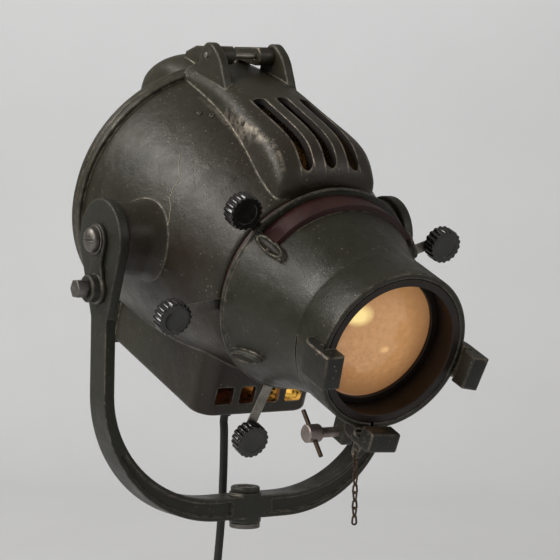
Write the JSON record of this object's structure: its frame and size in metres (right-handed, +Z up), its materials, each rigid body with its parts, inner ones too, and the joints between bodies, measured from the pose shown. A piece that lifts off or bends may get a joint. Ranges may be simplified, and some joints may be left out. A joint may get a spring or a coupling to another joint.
{
  "type": "theatre spotlight",
  "caption": "Vintage theatre profile spotlight with framing shutters, sliding lens tube, hinged back cover and a bow-shaped yoke on a foot bolt.",
  "frame": {"origin": "middle of the flat underside of the foot stud's flange, which sits on the stand's plate", "axes": "+Z up along the foot bolt, -Y the way the beam points, +X along the tilt axis, to the right as seen from in front of the lens"},
  "size_m": [0.33, 0.3861, 0.632],
  "materials": {
    "housing_paint": "cast aluminium under worn olive-grey crinkle enamel, brown where the heat has tinted it",
    "yoke_paint": "cast aluminium under dark green-grey enamel",
    "maroon_paint": "dark maroon heat-tinted enamel on sheet steel",
    "bakelite": "black phenolic, glossy with fine dust",
    "shutter_steel": "bare sheet steel, heat-dulled",
    "fastener_steel": "bare turned steel, dull and lightly rusted",
    "black_metal": "matt black heat-proof finish on steel",
    "lens_glass": "clear pressed glass that glows amber, lightly dusty",
    "bulb_glass": "clear lamp glass",
    "brass": "plain brass",
    "ceramic": "unglazed white ceramic",
    "mirror": "spun aluminium with a mirror polish",
    "black_rubber": "matt black rubber"
  },
  "bodies": {
    "foot": {"foot_stud": "fastener_steel", "foot_nut": "fastener_steel"},
    "yoke": {"yoke": "yoke_paint", "pivot_strap_left": "yoke_paint", "pivot_strap_right": "yoke_paint", "pivot_washer_left": "fastener_steel", "pivot_washer_right": "fastener_steel", "pivot_bolt_left": "fastener_steel", "pivot_bolt_right": "fastener_steel", "cord": "black_rubber", "cord_coil": "black_rubber", "cord_tail": "black_rubber", "plug": "black_rubber", "plug_pin_left": "brass", "plug_pin_right": "brass"},
    "lock_screw_left": {"lock_screw_left": "fastener_steel"},
    "lock_screw_right": {"lock_screw_right": "fastener_steel"},
    "head": {"front_housing": "housing_paint", "hinge_pin": "fastener_steel", "gate_drum": "maroon_paint", "gate_plate": "black_metal", "snout": "housing_paint", "frame_clip_left": "housing_paint", "frame_clip_bottom": "housing_paint", "frame_clip_right": "housing_paint", "lamp_bulb": "bulb_glass", "lamp_cap": "brass", "lampholder": "ceramic", "lamp_tray": "black_metal", "reflector": "mirror", "cord_gland": "black_rubber"},
    "rear_cover": {"rear_cover": "housing_paint"},
    "cover_thumbscrew": {"cover_thumbscrew": "fastener_steel"},
    "shutter_top": {"shutter_blade_top": "shutter_steel", "shutter_knob_top": "bakelite"},
    "shutter_left": {"shutter_blade_left": "shutter_steel", "shutter_knob_left": "bakelite"},
    "shutter_bottom": {"shutter_blade_bottom": "shutter_steel", "shutter_knob_bottom": "bakelite"},
    "shutter_right": {"shutter_blade_right": "shutter_steel", "shutter_knob_right": "bakelite"},
    "lens_tube": {"lens_tube": "black_metal", "lens": "lens_glass", "lens_ring": "black_metal"},
    "clamp_screw": {"clamp_screw": "fastener_steel"},
    "tommy_bar": {"tommy_bar": "fastener_steel"},
    "frame_chain": {"frame_chain": "fastener_steel"}
  },
  "joints": [
    {"name": "pan", "type": "hinge", "parent": "foot", "child": "yoke", "pos_m": [0, 0, 0], "axis": [0, 0, 1], "range_deg": [-170, 170]},
    {"name": "tilt", "type": "hinge", "parent": "yoke", "child": "head", "pos_m": [0, 0, 0.243], "axis": [1, 0, 0], "range_deg": [-80, 25], "deforming": ["cord"]},
    {"name": "lock_screw_left_turn", "type": "hinge", "parent": "yoke", "child": "lock_screw_left", "pos_m": [-0.16, 0, 0.204], "axis": [1, 0, 0], "range_deg": [0, 360]},
    {"name": "lock_screw_right_turn", "type": "hinge", "parent": "yoke", "child": "lock_screw_right", "pos_m": [0.16, 0, 0.204], "axis": [1, 0, 0], "range_deg": [0, 360]},
    {"name": "rear_cover_hinge", "type": "hinge", "parent": "head", "child": "rear_cover", "pos_m": [0, 0.01696, 0.3923], "axis": [1, 0, 0], "range_deg": [0, 100]},
    {"name": "cover_thumbscrew_turn", "type": "hinge", "parent": "rear_cover", "child": "cover_thumbscrew", "pos_m": [0, 0.14208, 0.14413], "axis": [0, -0.9397, -0.342], "range_deg": [0, 360]},
    {"name": "shutter_top_slide", "type": "slide", "parent": "head", "child": "shutter_top", "axis": [0.7771, 0.2152, -0.5914], "range_m": [-0.027, 0.004]},
    {"name": "shutter_left_slide", "type": "slide", "parent": "head", "child": "shutter_left", "axis": [0.989, -0.0506, 0.1389], "range_m": [-0.005, 0.026]},
    {"name": "shutter_bottom_slide", "type": "slide", "parent": "head", "child": "shutter_bottom", "axis": [0.2419, -0.3319, 0.9118], "range_m": [-0.001, 0.03]},
    {"name": "shutter_right_slide", "type": "slide", "parent": "head", "child": "shutter_right", "axis": [-0.9426, 0.1142, -0.3137], "range_m": [-0.0185, 0.0125]},
    {"name": "lens_slide", "type": "slide", "parent": "head", "child": "lens_tube", "axis": [0, 0.9397, 0.342], "range_m": [0, 0.04]},
    {"name": "clamp_screw_turn", "type": "hinge", "parent": "head", "child": "clamp_screw", "pos_m": [-0.0395, -0.15588, 0.10113], "axis": [1, 0, 0], "range_deg": [-75, 12]},
    {"name": "tommy_bar_slide", "type": "slide", "parent": "clamp_screw", "child": "tommy_bar", "axis": [0, -0.6202, -0.7845], "range_m": [-0.012, 0.012]},
    {"name": "frame_chain_swing", "type": "hinge", "parent": "head", "child": "frame_chain", "pos_m": [-0.016, -0.18193, 0.08792], "axis": [1, 0, 0], "range_deg": [-60, 45]}
  ]
}
